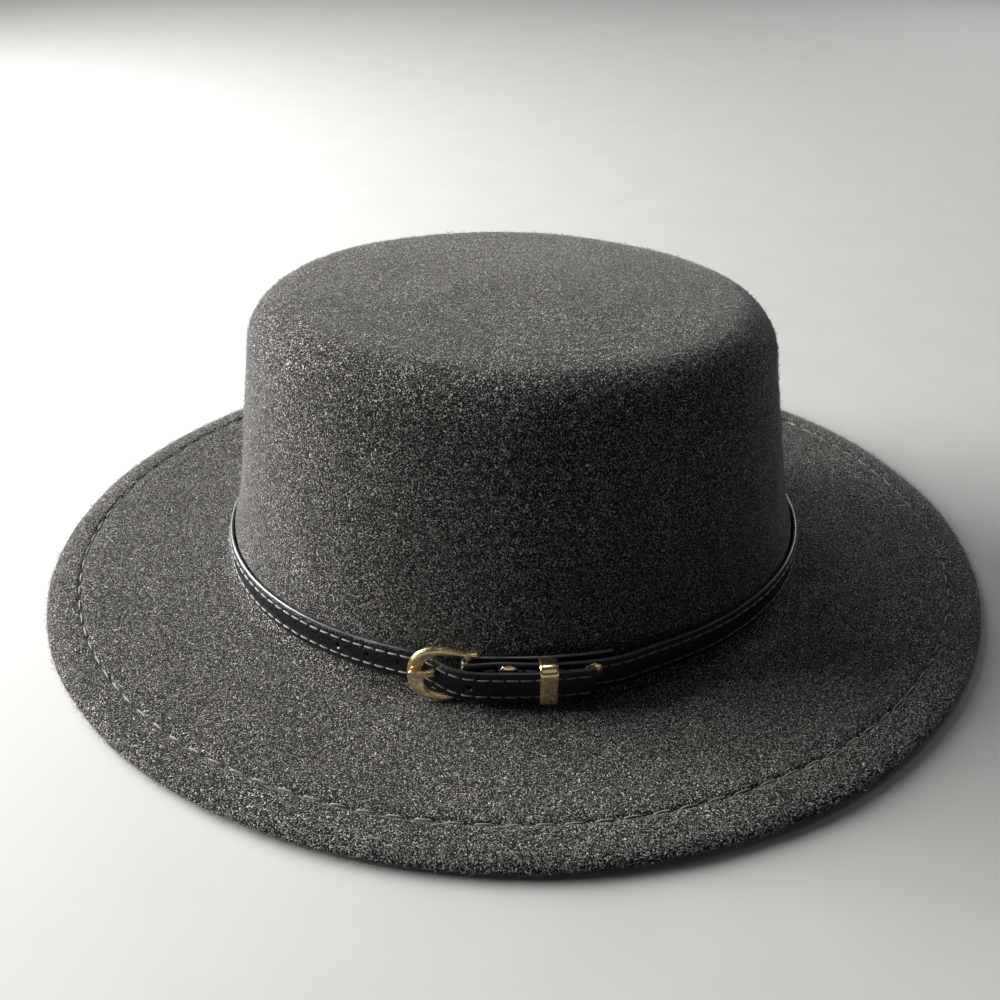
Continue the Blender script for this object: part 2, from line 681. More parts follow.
def blank_cutter(name, points, faces):
    """A closed mesh used for cutting, painted where it cuts and taken away again by cut()."""
    mesh = bpy.data.meshes.new(name)
    mesh.from_pydata((points * MM).tolist(), [], faces.tolist())
    mesh.materials.append(finish("strap_grain"))
    mesh.materials.append(finish("strap_edge_paint"))
    mesh.polygons.foreach_set("material_index", np.ones(len(faces), np.int32))
    return placed(name, mesh)


def cut(piece, cutters):
    """Cuts holes with closed meshes and leaves the piece's own mesh with nothing on it to apply."""
    for cutter in cutters:
        trim = piece.modifiers.new("cut", "BOOLEAN")
        trim.operation = "DIFFERENCE"
        trim.solver = "EXACT"
        trim.object = cutter
    bpy.context.view_layer.update()
    shaped = piece.evaluated_get(bpy.context.evaluated_depsgraph_get())
    finished = bpy.data.meshes.new_from_object(shaped)
    piece.modifiers.clear()
    old = piece.data
    piece.data = finished
    finished.name = piece.name
    bpy.data.meshes.remove(old)
    for cutter in cutters:
        mesh = cutter.data
        bpy.data.objects.remove(cutter)
        bpy.data.meshes.remove(mesh)


def hole_along(count):
    """The length along at a hole counted from the prong's hole, measured on the strap itself."""
    step = 0.02 * HOLE_SPACING * (1 if count > 0 else -1)
    along, left = PRONG_HOLE_ALONG, abs(count) * HOLE_SPACING
    while left > 0:
        rise = out_at(TIP_ROWS, along + step) - out_at(TIP_ROWS, along)
        along += step
        left -= math.hypot(step, rise)
    return along


def rivet_height(along):
    return seat_at(MAIN_ROWS, along) + STRAP_WIDTH / 2 + RIVET_RISE


def padding(up):
    """The face swells between the two seams and falls away towards both edges."""
    low, high = (share * STRAP_WIDTH for share in SEAM_SHARES)
    if low < up < high:
        return PADDING * (1 - ((2 * up - low - high) / (high - low)) ** 2)
    beyond = (low - up) / low if up < low else (up - high) / (STRAP_WIDTH - high)
    return -EDGE_FALL * beyond ** 2


def strap_outline():
    """The section as (towards the finished face, up), and which of its spans are painted edge."""
    face = HALF_STRAP
    ups = dict(CREASE_ROWS)
    ups.update({STRAP_WIDTH - up: sink for up, sink in CREASE_ROWS.items()})
    for share in SEAM_SHARES:
        for side in (-1, -0.5, 0, 0.5, 1):
            sink = SEAM_DEPTH * math.exp(-SEAM_SHARPNESS * side * side)
            ups[share * STRAP_WIDTH + side * SEAM_HALF_WIDTH] = sink
    ups.update({share * STRAP_WIDTH: 0.0 for share in PADDING_SHARES})
    front = [(face - sink + padding(up), up) for up, sink in sorted(ups.items())]
    low = [(math.sin(t) * (face if t < 0 else face - EDGE_FALL), EDGE_ROUNDING * (1 - math.cos(t)))
           for t in np.linspace(-QUARTER, QUARTER, 9)]
    high = [(out, STRAP_WIDTH - up) for out, up in low[::-1]]
    back = [(-face, share * STRAP_WIDTH) for share in (0.75, 0.5, 0.25)]
    outline = np.array([*low, *front[1:-1], *high, *back])
    painted = np.zeros(len(outline), bool)
    painted[: len(low) - 1] = True
    start = len(low) + len(front) - 2
    painted[start: start + len(high) - 1] = True
    return outline, painted


def strap_cutters():
    """Blanks for the strap's holes, the rivets' holes and the prong's slot."""
    blanks = []
    reach = HALF_STRAP + CUTTER_REACH
    for count in HOLE_COUNTS:
        along = hole_along(count)
        out = out_at(TIP_ROWS, along)
        z = seat_at(TIP_ROWS, along) + STRAP_WIDTH / 2 + HOLE_RAISE
        flare = [(out + reach - depth, HOLE_RADIUS + wider) for depth, wider in HOLE_FLARE_ROWS]
        blanks.append(turned_pin(along, z, [(out - reach, HOLE_RADIUS), *flare]))
    for along in (BAR_ALONG + reach for reach in RIVET_REACHES):
        ends = (FOLD_OUT - STRAP_THICKNESS, MAIN_OUT + STRAP_THICKNESS)
        profile = [(out, RIVET_SHAFT_RADIUS + GAP) for out in ends]
        blanks.append(turned_pin(along, rivet_height(along), profile, 20))
    blanks.append(prong_sweep(GAP))
    return [blank_cutter(f"hole_cutter_{i}", *blank) for i, blank in enumerate(blanks)]


def strap_piece():
    route = strap_route()
    outline, painted = strap_outline()
    points, faces = tube_points(swept(route, [outline] * len(route)))
    finishes = ["strap_grain", "strap_edge_paint"]
    strap = make_piece("hatband", points, faces, finishes, "strap_leather", ["hatband_strap"])
    spans = np.tile(painted, len(route) + 1)
    spans[: len(outline)] = True
    spans[-len(outline):] = True
    strap.data.polygons.foreach_set("material_index", spans.astype(np.int32))
    tidy_mesh(strap)
    cut(strap, strap_cutters())
    return tidy_mesh(strap, 50)


# Threads

def thread_bars(centres, ups, radius, sides=7):
    """Tubes of thread along centre lines shaped (stitches, stations, 3); ups point off the face."""
    ahead = unit(np.gradient(centres, axis=1))
    side = unit(np.cross(ahead, ups))
    up = np.cross(side, ahead)
    angles = round_angles(sides)
    ring = side[:, :, None] * np.cos(angles)[:, None] + up[:, :, None] * np.sin(angles)[:, None]
    rings = centres[:, :, None] + radius[None, :, None, None] * ring
    return joined([tube_points(bar) for bar in rings])


def brim_stitches():
    """The hem's stitches, on the brim's top and under the hem."""
    parts = []
    slips = rng.normal(0, BRIM_STITCH_SLIP, (STITCH_COUNT, 4))
    for top in (True, False):
        centres = []
        for i in range(STITCH_COUNT):
            start = (i + (0 if top else 0.5)) * STITCH_PITCH
            reach = start + BAR_SHARES * BRIM_STITCH_LENGTH + (0.5 * slips[i, 0] if top else 0)
            bearing = np.interp(reach % STITCH_LENGTHS[-1], STITCH_LENGTHS, FINE_BEARINGS)
            place = stitch_line(bearing)
            slip = np.linspace(0.3 * slips[i, 1], 0.3 * slips[i, 2], len(BAR_SHARES))
            place = place + unit(place) * slip[:, None]
            if top:
                z = RIM_TOP - GROOVE_DEPTH + 0.05 + np.where(BAR_LIFTS < 0, -0.75, 0.3 * BAR_LIFTS)
            else:
                z = UNDER_GROOVE_DEPTH - 0.02 - np.where(BAR_LIFTS < 0, -0.6, 0.12 * BAR_LIFTS)
            centres.append(np.concatenate([place, z[:, None]], axis=1))
        centres = np.array(centres)
        ups = np.zeros_like(centres)
        ups[..., 2] = 1
        size = BRIM_THREAD_RADIUS if top else UNDER_THREAD_SHARE * BRIM_THREAD_RADIUS
        parts.append(thread_bars(centres, ups, size * BRIM_THREAD_SWELL))
    return make_piece("brim_stitches", *joined(parts), ["hem_thread"], "felt")


def strap_stitches():
    """Two rows of stitches along the strap's finished face, from the tip round to the buckle's bar."""
    route = strap_route()
    across = finished_side(route)
    second_half = np.arange(len(route)) >= len(route) // 2
    to_bar = np.abs(route[:, 0] - (BAR_ALONG - GIRTH)) + np.where(second_half, 0, GIRTH)
    turn = int(np.argmin(to_bar))
    route, across = route[: turn - 1], across[: turn - 1]
    lengths = running_length(route[:, :2])
    centres, ups = [], []
    for share in SEAM_SHARES:
        start = STRAP_STITCH_START
        while start + STRAP_STITCH_LENGTH < lengths[-1] - STRAP_STITCH_END:
            reach = start + BAR_SHARES * STRAP_STITCH_LENGTH
            along, out, seat = (np.interp(reach, lengths, route[:, k]) for k in range(3))
            step_along, step_out = (np.interp(reach, lengths, across[:, k]) for k in range(2))
            lift = HALF_STRAP - SEAM_DEPTH + np.where(BAR_LIFTS < 0, -0.35, 0.05 + 0.13 * BAR_LIFTS)
            tilt = STRAP_STITCH_TILT * rng.normal() * np.linspace(-1, 1, len(reach))
            z = seat + share * STRAP_WIDTH + tilt
            lifts = (lift, lift + 1)
            centre, above = (on_band(along + step_along * up, out + step_out * up, z) for up in lifts)
            centres.append(centre)
            ups.append(above - centre)
            start += STRAP_STITCH_PITCH * (1 + STRAP_PITCH_CHANGE * rng.normal())
    bars = thread_bars(np.array(centres), np.array(ups), STRAP_THREAD_RADIUS * STRAP_THREAD_SWELL)
    return make_piece("hatband_stitches", *bars, ["strap_thread"], "strap_leather")


# The gold pieces

def gold_piece(name, node, points, faces, gold, smooth_angle):
    return tidy_mesh(make_piece(name, points, faces, [gold], "gold_metal", [node]), smooth_angle)


def smooth_through(points, steps):
    """A Catmull-Rom curve through points, centripetal in its spacing."""
    points = np.asarray(points, float)
    points = np.concatenate([[2 * points[0] - points[1]], points, [2 * points[-1] - points[-2]]])
    made = []
    for i in range(1, len(points) - 2):
        p0, p1, p2, p3 = points[i - 1: i + 3]
        d1, d2, d3 = (max(1e-6, np.linalg.norm(b - a)) ** 0.5 for a, b in ((p0, p1), (p1, p2), (p2, p3)))
        t1 = ((p1 - p0) / d1 - (p2 - p0) / (d1 + d2) + (p2 - p1) / d2) * d2
        t2 = ((p2 - p1) / d2 - (p3 - p1) / (d2 + d3) + (p3 - p2) / d3) * d2
        for t in np.arange(steps) / steps:
            made.append((2 * t ** 3 - 3 * t * t + 1) * p1 + (t ** 3 - 2 * t * t + t) * t1
                        + (3 * t * t - 2 * t ** 3) * p2 + (t ** 3 - t * t) * t2)
    made.append(points[-2])
    return np.array(made)


def rounded_end(left, least):
    """How much of a bar's section is left near its end, so that the end closes round."""
    return math.sqrt(max(least, 1 - (max(0, LEG_END - left) / (LEG_END + 0.05)) ** 2))


def horseshoe_rings():
    half = [(reach * FRAME_LENGTH, rise * FRAME_HEIGHT / 2, breadth * FRAME_BREADTH)
            for reach, rise, breadth in HORSESHOE_ROWS]
    end = (FRAME_LENGTH - FRAME_BREADTH / 2, 0, FRAME_BREADTH)
    rows = [*half, end, *[(reach, -rise, breadth) for reach, rise, breadth in half[::-1]]]
    stations = smooth_through(rows, 9)
    lengths = running_length(stations[:, :2])
    ahead = unit(np.gradient(stations[:, :2], axis=0))
    rings = []
    for (reach, rise, breadth), (dx, dy), length in zip(stations, ahead, lengths):
        near_end = min(length, lengths[-1] - length)
        knob = LEG_KNOB * bell(near_end - LEG_END, 0.8)
        side, face = breadth / 2 + knob, FRAME_THICKNESS / 2 + 0.3 * knob
        corners = [(side * across, face * lift) for across, lift in FRAME_SECTION]
        corners += [(-across, lift) for across, lift in corners[::-1]]
        section = rounded_outline(corners, RIM_ROUNDING, 2) * rounded_end(near_end, 0.02)
        at_reach = reach - dy * section[:, 0]
        at_rise = rise + dx * section[:, 0]
        lift = sheet_out(at_reach, at_rise) + section[:, 1]
        rings.append(on_band(BAR_ALONG - at_reach, lift, FRAME_MIDDLE + at_rise))
    return np.array(rings)


def frame_piece():
    angles = round_angles(20)
    around_bar = BAR_ALONG + BAR_RADIUS * np.cos(angles), BAR_OUT + BAR_RADIUS * np.sin(angles)
    leg = LEG_INSET * FRAME_HEIGHT / 2
    bar = np.array([on_band(*around_bar, FRAME_MIDDLE + rise) for rise in np.linspace(-leg, leg, 9)])
    points, faces = joined([tube_points(horseshoe_rings()), tube_points(bar)])
    return gold_piece("buckle_ring", "buckle_frame", points, faces, "gold_frame", 32)


def prong_route():
    """The prong's middle line as rows of (along, out): the hook round the bar, and the shank."""
    hook_radius = BAR_RADIUS + GAP + PRONG_THICKNESS / 2
    over_frame = FRAME_END_OUT + FRAME_THICKNESS / 2 + GAP + PRONG_THICKNESS / 2
    hole_out = out_at(TIP_ROWS, PRONG_HOLE_ALONG)
    under_tip = out_at(TIP_ROWS, PRONG_HOLE_ALONG + 0.3 * PRONG_HOLE_REACH)
    under_tip -= HALF_STRAP + 1.5 * GAP + PRONG_THICKNESS / 2
    hook = [
        (BAR_ALONG + hook_radius * math.cos(angle), BAR_OUT + hook_radius * math.sin(angle))
        for angle in np.linspace(1.25 * math.pi, 2.5 * math.pi, 15)
    ]
    end = FRAME_LENGTH - PRONG_SETBACK
    shank = [(0.25 * PRONG_HOLE_REACH, lerp(BAR_OUT + hook_radius, under_tip, 0.35))]
    for low, high, turns in (
        (under_tip, hole_out, [(0.7, 0), (0.84, 0.2), (0.93, 1)]),
        (hole_out, over_frame, [(0.99, 0.5), (1.1, 0.72), (1.28, 0.88)]),
    ):
        shank += [(reach * PRONG_HOLE_REACH, lerp(low, high, rise)) for reach, rise in turns]
    shank += [(end - 0.6 * FRAME_BREADTH, over_frame), (end, over_frame)]
    return np.array([*hook, *smooth_through([(BAR_ALONG - reach, out) for reach, out in shank], 5)])


def prong_sweep(clearance=0.0):
    """The prong, or with a clearance the slot that it needs in the strap."""
    places = prong_route()
    lengths = running_length(places)
    route = np.concatenate([places, np.full((len(places), 1), FRAME_MIDDLE + PRONG_RAISE)], axis=1)
    outlines = []
    for length in lengths:
        left = lengths[-1] - length
        breadth = depth = 1
        if not clearance:
            breadth = lerp(PRONG_TIP_SHARE, 1, min(1, left / PRONG_TAPER_REACH)) * rounded_end(left, 0.03)
            depth = min(1, 0.25 + left / PRONG_THICKNESS)
        wide = (PRONG_WIDTH / 2) * breadth + clearance
        thick = (PRONG_THICKNESS / 2) * depth + clearance
        corners = [(-thick, -wide), (thick, -wide), (thick, wide), (-thick, wide)]
        outlines.append(rounded_outline(corners, 0.01 if clearance else PRONG_ROUNDING))
    return tube_points(swept(route, outlines))


def keeper_piece():
    back = FOLD_OUT + HALF_STRAP + GAP + KEEPER_WALL / 2
    front = TIP_OUT + HALF_STRAP + GAP + KEEPER_WALL / 2
    low = TIP_SEAT - GAP - KEEPER_WALL / 2
    high = low + KEEPER_HEIGHT - KEEPER_WALL
    edge, face = KEEPER_WIDTH / 2, KEEPER_WALL / 2
    outline = [(-edge, -face), (-edge, 0), (KEEPER_WALL - edge, face)]
    outline += [(-across, out) for across, out in outline[::-1]]
    section = rounded_outline(outline, KEEPER_EDGE_ROUNDING, 2)
    corners = [
        (back, low, 2, KEEPER_CORNER),
        (front, low, 3, KEEPER_FOOT_ROUNDING),
        (front, high, 0, KEEPER_BROW_ROUNDING),
        (back, high, 1, KEEPER_CORNER),
    ]
    rings = []
    for out, z, turn, rounding in corners:
        inner_out = out + math.copysign(rounding, back + front - 2 * out)
        inner_z = z + math.copysign(rounding, low + high - 2 * z)
        radius = rounding + section[:, 1]
        for share in np.linspace(0, 1, 13):
            angle = (turn + share) * QUARTER
            at_out = inner_out + radius * math.cos(angle)
            rings.append(on_band(KEEPER_ALONG + section[:, 0], at_out, inner_z + radius * math.sin(angle)))
    points, faces = tube_points(np.array(rings), looped=True)
    return gold_piece("strap_keeper", "keeper_loop", points, faces, "gold_keeper", 32)


def rivet_piece(name, node, along):
    """A domed rivet cap with a rolled rim, its shaft and its flat back."""
    foot = out_at(MAIN_ROWS, along) + HALF_STRAP + GAP
    back = out_at(FOLD_ROWS, along) - HALF_STRAP - GAP
    rows = [
        *((back - rise * RIVET_BACK_THICKNESS, share * RIVET_BACK_RADIUS) for rise, share in RIVET_BACK_ROWS),
        (back, RIVET_SHAFT_RADIUS),
        (foot, RIVET_SHAFT_RADIUS),
        *((foot + rise * RIVET_CAP_THICKNESS, share * RIVET_CAP_RADIUS) for rise, share in RIVET_CAP_ROWS),
    ]
    return gold_piece(name, node, *turned_pin(along, rivet_height(along), rows, 36), "gold_rivet", 40)


# Felt fibres that stand off the surface

def on_crown(centres, normals):
    """Crown faces that look out, above the band."""
    x, y, z = centres.T
    out = np.einsum("ij,ij->i", normals, np.stack([x, y, 0.6 * z], -1)) > 0
    return (oval_share(x, y, CROWN_MARGIN) < OVAL_MARGIN) & out & (z > FUZZ_ABOVE_BAND)


def on_brim_top(centres, normals):
    x, y, z = centres.T
    return (oval_share(x, y, BAND_OUT) > 1) & (normals[:, 2] > UPWARD) & (z > FUZZ_ABOVE_FLOOR)


def on_rim(centres, normals):
    x, y, z = centres.T
    return (oval_share(x, y, BRIM_WIDTH) > RIM_FUZZ_SHARE) & (z > RIM_FUZZ_FLOOR)


def fuzz_piece(name, felt, count, keep, lift, thickness):
    """Loose fibre ends as slim closed spindles of one bend, spread over the faces that keep() takes."""
    polygons = felt.data.polygons
    centres, normals, areas = (np.zeros(len(polygons) * size) for size in (3, 3, 1))
    polygons.foreach_get("center", centres)
    polygons.foreach_get("normal", normals)
    polygons.foreach_get("area", areas)
    centres, normals = centres.reshape(-1, 3) / MM, normals.reshape(-1, 3)
    weights = areas * keep(centres, normals)
    picked = rng.choice(len(polygons), count, p=weights / weights.sum())
    normal = normals[picked]
    swing = rng.normal(size=(count, 3))
    flat = unit(swing - normal * np.einsum("ij,ij->i", swing, normal)[:, None])
    side = np.cross(normal, flat)
    spread = np.sqrt(areas[picked])[:, None] / MM
    shift = flat * rng.uniform(-0.5, 0.5, (count, 1)) + side * rng.uniform(-0.5, 0.5, (count, 1))
    root = centres[picked] + shift * spread
    length = rng.lognormal(math.log(FIBRE_LENGTH), FIBRE_LENGTH_CHANGE, (count, 1))
    rise = np.abs(rng.normal(0, lift, (count, 1)))
    tip = root + flat * length * np.cos(rise) + normal * length * np.sin(rise)
    bend = side * rng.normal(0, FIBRE_BEND, (count, 1)) * length + normal * FIBRE_ARCH * length
    middle = 0.5 * (root + tip) + bend
    root = root - normal * FIBRE_ROOT_DEPTH
    ahead = unit(tip - root)
    first = unit(np.cross(ahead, normal + 1e-3))
    second = np.cross(ahead, first)
    radius = thickness * rng.uniform(0.7, 1.2, (count, 1))
    ring = [middle + radius * (first * math.cos(a) + second * math.sin(a)) for a in FIBRE_ANGLES]
    points = np.stack([root, *ring, tip], axis=1).reshape(-1, 3)
    low = points[:, 2] < LOWEST_FIBRE
    points[low, 2] = 2 * LOWEST_FIBRE - points[low, 2]
    faces = (FIBRE_FACES[None] + 5 * np.arange(count)[:, None, None]).reshape(-1, 3)
    return make_piece(name, points, faces, ["felt_fuzz"], "felt")


# Shader building

class Bench:
    """Adds and links nodes in one material or group."""

    def __init__(self, tree):
        self.tree = tree

    def add(self, kind, inputs=None, **settings):
        node = self.tree.nodes.new(kind)
        for key, value in settings.items():
            setattr(node, key, value)
        for key, value in (inputs or {}).items():
            if isinstance(value, bpy.types.NodeSocket):
                self.link(value, node.inputs[key])
            else:
                node.inputs[key].default_value = value
        return node

    def link(self, output, socket):
        self.tree.links.new(output, socket)

    def math(self, operation, a, b=0.0):
        return self.add("ShaderNodeMath", {0: a, 1: b}, operation=operation).outputs[0]

    def times(self, a, b):
        return self.math("MULTIPLY", a, b)

    def weighed(self, a, a_share, b, b_share):
        """Two values added by their shares."""
        return self.math("ADD", self.times(a, a_share), self.times(b, b_share))

    def vector(self, operation, a, b):
        second = "Scale" if operation == "SCALE" else 1
        return self.add("ShaderNodeVectorMath", {0: a, second: b}, operation=operation).outputs[0]

    def span(self, value, low, high, to_low=0.0, to_high=1.0, smooth=True):
        """Moves a value from one range to another, clamped."""
        inputs = {"Value": value, "From Min": low, "From Max": high, "To Min": to_low, "To Max": to_high}
        kind = "SMOOTHSTEP" if smooth else "LINEAR"
        return self.add("ShaderNodeMapRange", inputs, interpolation_type=kind).outputs["Result"]

    def mix(self, share, a, b):
        return self.add("ShaderNodeMix", {0: share, 6: a, 7: b}, data_type="RGBA").outputs[2]

    def noise(self, vector, scale, detail=2.0, roughness=0.5, distortion=0.0, output="Fac"):
        inputs = {"Vector": vector, "Scale": scale, "Detail": detail, "Roughness": roughness}
        return self.add("ShaderNodeTexNoise", {**inputs, "Distortion": distortion}).outputs[output]

    def place(self):
        return self.add("ShaderNodeTexCoord").outputs["Object"]


# Effects: each takes a bench and the group's inputs, and returns a colour, a roughness and a height

def felt_nap(bench, given):
    """Matted wool: curled light fibres over a dark ground, with soft clouds and fine tooth."""
    place, scale = bench.place(), given["Fibre Scale"]
    swirl = bench.noise(place, 240.0, output="Color")
    pushed = bench.vector("SCALE", bench.vector("SUBTRACT", swirl, (0.5, 0.5, 0.5)), 0.0016)
    warped = bench.vector("ADD", place, pushed)
    grains = bench.span(bench.noise(warped, scale, 0.0, 0.5, 0.5), 0.53, 0.64)
    moved = bench.vector("ADD", warped, (0.31, 0.62, -0.31))
    strands = bench.noise(moved, bench.times(scale, 0.5), 0.6, 0.5, 0.4)
    away = bench.math("ABSOLUTE", bench.math("SUBTRACT", strands, 0.5))
    curls = bench.span(away, 0.0, 0.08, 1.0, 0.0)
    tufts = bench.span(bench.weighed(grains, 0.62, curls, 0.5), 0.45, 1.02)
    clouds = bench.span(bench.noise(place, 42.0, 3.0, 0.6), 0.3, 0.7, 0.72, 1.0)
    tooth = bench.noise(place, 2600.0, 2.0, 0.6)
    share = bench.times(bench.times(tufts, clouds), bench.span(tooth, 0.25, 0.7, 0.75, 1.0))
    colour = bench.mix(share, given["Ground"], given["Fibre"])
    return colour, bench.span(share, 0.0, 0.8, 1.0, 0.6), bench.weighed(tufts, 0.9, tooth, 0.12)


def leather_grain(bench, given):
    """Fine pebbled grain with pores, light rub marks and a few faint scuffs."""
    place = bench.place()
    inputs = {"Vector": place, "Scale": given["Grain Scale"], "Randomness": 0.9}
    cells = bench.add("ShaderNodeTexVoronoi", inputs, feature="SMOOTH_F1")
    pebble = bench.span(cells.outputs["Distance"], 0.1, 0.62, 1.0, 0.0)
    fine = bench.noise(place, 3800.0, 2.0, 0.55)
    rub = bench.noise(place, 95.0, 4.0, 0.62, 0.5)
    worn = bench.times(bench.span(rub, 0.48, 0.74), pebble)
    rough = bench.weighed(fine, 0.45, rub, 0.55)
    gloss = bench.span(rough, 0.3, 0.7, given["Gloss Low"], given["Gloss High"], smooth=False)
    return bench.mix(worn, given["Tone"], given["Rubbed"]), gloss, bench.weighed(pebble, 0.75, fine, 0.3)


def plate_wear(bench, given):
    """Plated metal: soft clouding, hairline polishing marks and small dull specks."""
    place = bench.place()
    lines = bench.noise(bench.vector("MULTIPLY", place, (260.0, 900.0, 2600.0)), 2.4, 3.0, 0.6)
    cloud = bench.noise(place, 330.0, 3.0, 0.55)
    specks = bench.span(bench.noise(place, 1700.0), 0.66, 0.74)
    dull = bench.math("MAXIMUM", bench.span(cloud, 0.45, 0.72, 0.0, 0.55), bench.times(specks, 0.7))
    blend = bench.weighed(lines, 0.5, cloud, 0.5)
    gloss = bench.span(blend, 0.35, 0.68, given["Polish"], given["Haze"], smooth=False)
    return bench.mix(dull, given["Bright"], given["Dull"]), gloss, bench.weighed(cloud, 0.8, lines, 0.25)


def thread_twist(bench, given):
    """Twisted thread: fine slanting plies with a fuzzy breakup."""
    place = bench.place()
    inputs = {"Vector": place, "Scale": given["Ply Scale"], "Distortion": 1.5, "Detail": 1.0}
    wave = bench.add("ShaderNodeTexWave", inputs, wave_type="BANDS", bands_direction="DIAGONAL")
    fuzz = bench.noise(place, 3000.0)
    plies = bench.times(wave.outputs["Fac"], bench.span(fuzz, 0.3, 0.7, 0.5, 1.0))
    return bench.mix(plies, given["Tone"], given["Shine"]), bench.span(fuzz, 0.3, 0.7, 0.45, 0.7), plies


# What each effect's group takes in, with its usual values
EFFECTS = {
    felt_nap: {"Ground": (0.008, 0.0077, 0.007, 1), "Fibre": (0.78, 0.755, 0.72, 1), "Fibre Scale": 2500.0},
    leather_grain: {
        "Tone": (0.0028, 0.0028, 0.003, 1), "Rubbed": (0.009, 0.009, 0.0096, 1),
        "Grain Scale": 1500.0, "Gloss Low": 0.2, "Gloss High": 0.42,
    },
    plate_wear: {
        "Bright": (0.85, 0.6, 0.22, 1), "Dull": (0.46, 0.27, 0.09, 1), "Polish": 0.16, "Haze": 0.38,
    },
    thread_twist: {"Tone": (0.02, 0.019, 0.018, 1), "Shine": (0.09, 0.086, 0.08, 1), "Ply Scale": 1700.0},
}

# Each finish: its effect, the strength and depth of its relief in metres, the effect's own values,
# and the shader's steady values
FINISHES = {
    "black_felt": (felt_nap, 1.0, 0.0016, {}, {
        "Specular IOR Level": 0.1, "Sheen Weight": 0.22, "Sheen Roughness": 0.3,
        "Sheen Tint": (1.0, 0.985, 0.96, 1),
    }),
    "felt_fuzz": (felt_nap, 0.3, 0.0002, {
        "Fibre Scale": 900.0, "Ground": (0.07, 0.067, 0.062, 1), "Fibre": (0.42, 0.405, 0.385, 1),
    }, {"Specular IOR Level": 0.3, "Sheen Weight": 0.6, "Sheen Roughness": 0.5}),
    "strap_grain": (leather_grain, 0.8, 0.0003, {}, {"Specular IOR Level": 0.28}),
    "strap_edge_paint": (leather_grain, 0.25, 0.0002, {
        "Grain Scale": 420.0, "Tone": (0.012, 0.012, 0.013, 1), "Rubbed": (0.05, 0.05, 0.052, 1),
        "Gloss Low": 0.3, "Gloss High": 0.46,
    }, {"Specular IOR Level": 0.6, "Coat Weight": 1.0, "Coat Roughness": 0.13}),
    "hem_thread": (thread_twist, 0.4, 0.0001, {
        "Tone": (0.03, 0.028, 0.025, 1), "Shine": (0.17, 0.16, 0.145, 1),
    }, {"Specular IOR Level": 0.5, "Sheen Weight": 0.4, "Sheen Roughness": 0.4}),
    "strap_thread": (thread_twist, 0.4, 0.0001, {
        "Tone": (0.03, 0.03, 0.031, 1), "Shine": (0.26, 0.26, 0.265, 1),
    }, {"Specular IOR Level": 0.5, "Sheen Weight": 0.2, "Sheen Roughness": 0.4}),
}
for gold, bright, dull, polish, haze in [
    ("gold_frame", (0.9, 0.74, 0.44, 1), (0.6, 0.44, 0.22, 1), 0.17, 0.36),
    ("gold_tongue", (0.94, 0.68, 0.44, 1), (0.7, 0.43, 0.27, 1), 0.16, 0.3),
    ("gold_keeper", (0.9, 0.73, 0.42, 1), (0.6, 0.44, 0.21, 1), 0.15, 0.28),
    ("gold_rivet", (0.92, 0.72, 0.46, 1), (0.62, 0.42, 0.22, 1), 0.08, 0.18),
]:
    values = {"Bright": bright, "Dull": dull, "Polish": polish, "Haze": haze}
    FINISHES[gold] = (plate_wear, 0.07, 0.0001, values, {"Metallic": 1.0})

MADE = {}


def effect_group(effect):
    """The shader group of an effect, built once."""
    if effect not in MADE:
        tree = bpy.data.node_groups.new(effect.__name__, "ShaderNodeTree")
        for label, value in EFFECTS[effect].items():
            kind = "NodeSocketFloat" if isinstance(value, float) else "NodeSocketColor"
            socket = tree.interface.new_socket(name=label, in_out="INPUT", socket_type=kind)
            socket.default_value = value
        for label in ("Colour", "Roughness", "Height"):
            kind = "NodeSocketColor" if label == "Colour" else "NodeSocketFloat"
            tree.interface.new_socket(name=label, in_out="OUTPUT", socket_type=kind)
        bench = Bench(tree)
        colour, roughness, height = effect(bench, bench.add("NodeGroupInput").outputs)
        bench.add("NodeGroupOutput", {"Colour": colour, "Roughness": roughness, "Height": height})
        MADE[effect] = tree
    return MADE[effect]


def plain_material(name, steady):
    """A material, its bench, and its shader with steady values on the shader's own sockets."""
    material = bpy.data.materials.new(name)
    material.use_nodes = True
    shader = material.node_tree.nodes["Principled BSDF"]
    for label, value in steady.items():
        shader.inputs[label].default_value = value
    return material, Bench(material.node_tree), shader.inputs


def finish(name):
    """The material of a finish, made once."""
    if name not in MADE:
        effect, strength, depth, values, steady = FINISHES[name]
        material, bench, shader = plain_material(name, steady)
        made = bench.add("ShaderNodeGroup", values, node_tree=effect_group(effect)).outputs
        relief = {"Strength": strength, "Distance": depth, "Height": made["Height"]}
        bench.link(made["Colour"], shader["Base Color"])
        bench.link(made["Roughness"], shader["Roughness"])
        bench.link(bench.add("ShaderNodeBump", relief).outputs["Normal"], shader["Normal"])
        MADE[name] = material
    return MADE[name]


def floor_paint():
    material, bench, shader = plain_material("pale_floor", {"Specular IOR Level": 0.3})
    speck = bench.noise(bench.place(), 30.0, 3.0)
    tone = bench.mix(bench.span(speck, 0.3, 0.7), (0.3, 0.298, 0.292, 1), (0.31, 0.308, 0.302, 1))
    bench.link(tone, shader["Base Color"])
    bench.link(bench.span(speck, 0.3, 0.7, 0.8, 0.84), shader["Roughness"])
    return material


# The camera at the photograph's angle, and a plain soft studio, whose places and sizes are in metres

LENS = 39.67
SENSOR_WIDTH = 36
CAMERA_PLACE = (-9.83, -350.43, 245.44)
CAMERA_PITCH = 32.625
CAMERA_YAW = -0.787
FLOOR_HALF_SIZE = 6.0
FLOOR_DROP = 0.0004
AIR_COLOUR = (0.93, 0.95, 1.0, 1)
AIR_STRENGTH = 0.04

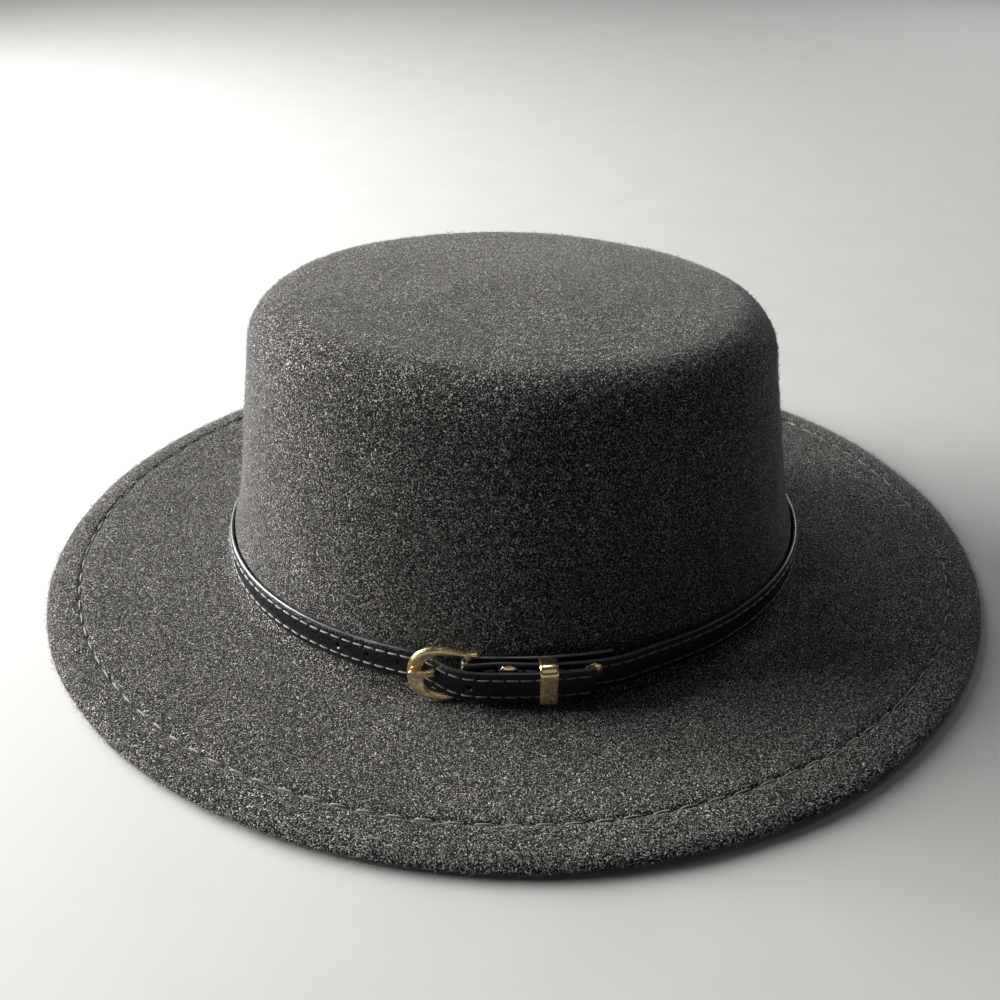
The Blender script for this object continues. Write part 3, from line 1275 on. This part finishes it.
# Lamps as (name, place, what it points at, size, watts, colour)
LAMPS = [
    ("soft_left", (-1.02, 0.24, 0.44), (0, 0, 0.05), (0.8, 0.6), 65.0, (1.0, 0.985, 0.96)),
    ("soft_back", (-0.8, 0.9, 1.1), (0, 0, 0), (1.5, 0.9), 25.0, (1, 1, 1)),
    ("soft_front", (0.5, -1.5, 1.3), (0, 0, 0), (1.5, 1.0), 1.4, (0.97, 0.98, 1.0)),
    ("small_top", (0.05, 0.05, 1.3), (0, 0, 0), (0.2, 0.2), 0.9, (1, 1, 1)),
    ("soft_right", (1.0, 1.05, 0.5), (0, 0, 0), (1.1, 0.6), 6.5, (1, 1, 1)),
]


def add_camera():
    data = bpy.data.cameras.new("hat_view")
    data.sensor_width = SENSOR_WIDTH
    data.lens = LENS
    data.clip_start = 0.01
    camera = placed("hat_view", data)
    camera.location = Vector(CAMERA_PLACE) * MM
    camera.rotation_euler = (math.radians(90 - CAMERA_PITCH), 0, math.radians(CAMERA_YAW))
    bpy.context.scene.camera = camera


def add_floor():
    half = FLOOR_HALF_SIZE
    mesh = bpy.data.meshes.new("studio_floor")
    corners = [(-half, -half, 0), (half, -half, 0), (half, half, 0), (-half, half, 0)]
    mesh.from_pydata(corners, [], [(0, 1, 2, 3)])
    mesh.materials.append(floor_paint())
    floor = placed("studio_floor", mesh)
    floor.location.z = -FLOOR_DROP


def add_lights():
    for name, place, towards, size, power, tint in LAMPS:
        data = bpy.data.lights.new(name, "AREA")
        data.shape = "RECTANGLE"
        data.size, data.size_y = size
        data.energy = power
        data.color = tint
        lamp = placed(name, data)
        lamp.location = place
        aim = Vector(towards) - Vector(place)
        lamp.rotation_euler = aim.to_track_quat("-Z", "Y").to_euler()
    world = bpy.data.worlds.new("studio_air")
    world.use_nodes = True
    backdrop = world.node_tree.nodes["Background"]
    backdrop.inputs["Color"].default_value = AIR_COLOUR
    backdrop.inputs["Strength"].default_value = AIR_STRENGTH
    bpy.context.scene.world = world
    bpy.context.scene.view_settings.view_transform = "Standard"


add_camera()
add_floor()
add_lights()

felt = felt_piece()
pieces = [
    felt,
    strap_piece(),
    brim_stitches(),
    strap_stitches(),
    frame_piece(),
    gold_piece("buckle_tongue", "buckle_prong", *prong_sweep(), "gold_tongue", 45),
    keeper_piece(),
    rivet_piece("near_rivet", "rivet_1", BAR_ALONG + RIVET_REACHES[0]),
    rivet_piece("far_rivet", "rivet_2", BAR_ALONG + RIVET_REACHES[1]),
    fuzz_piece("crown_fuzz", felt, 28000, on_crown, 0.3, 0.075),
    fuzz_piece("brim_fuzz", felt, 30000, on_brim_top, 0.3, 0.075),
    fuzz_piece("rim_fuzz", felt, 8000, on_rim, 0.6, 0.07),
]
for piece in pieces:
    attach(piece, "root")
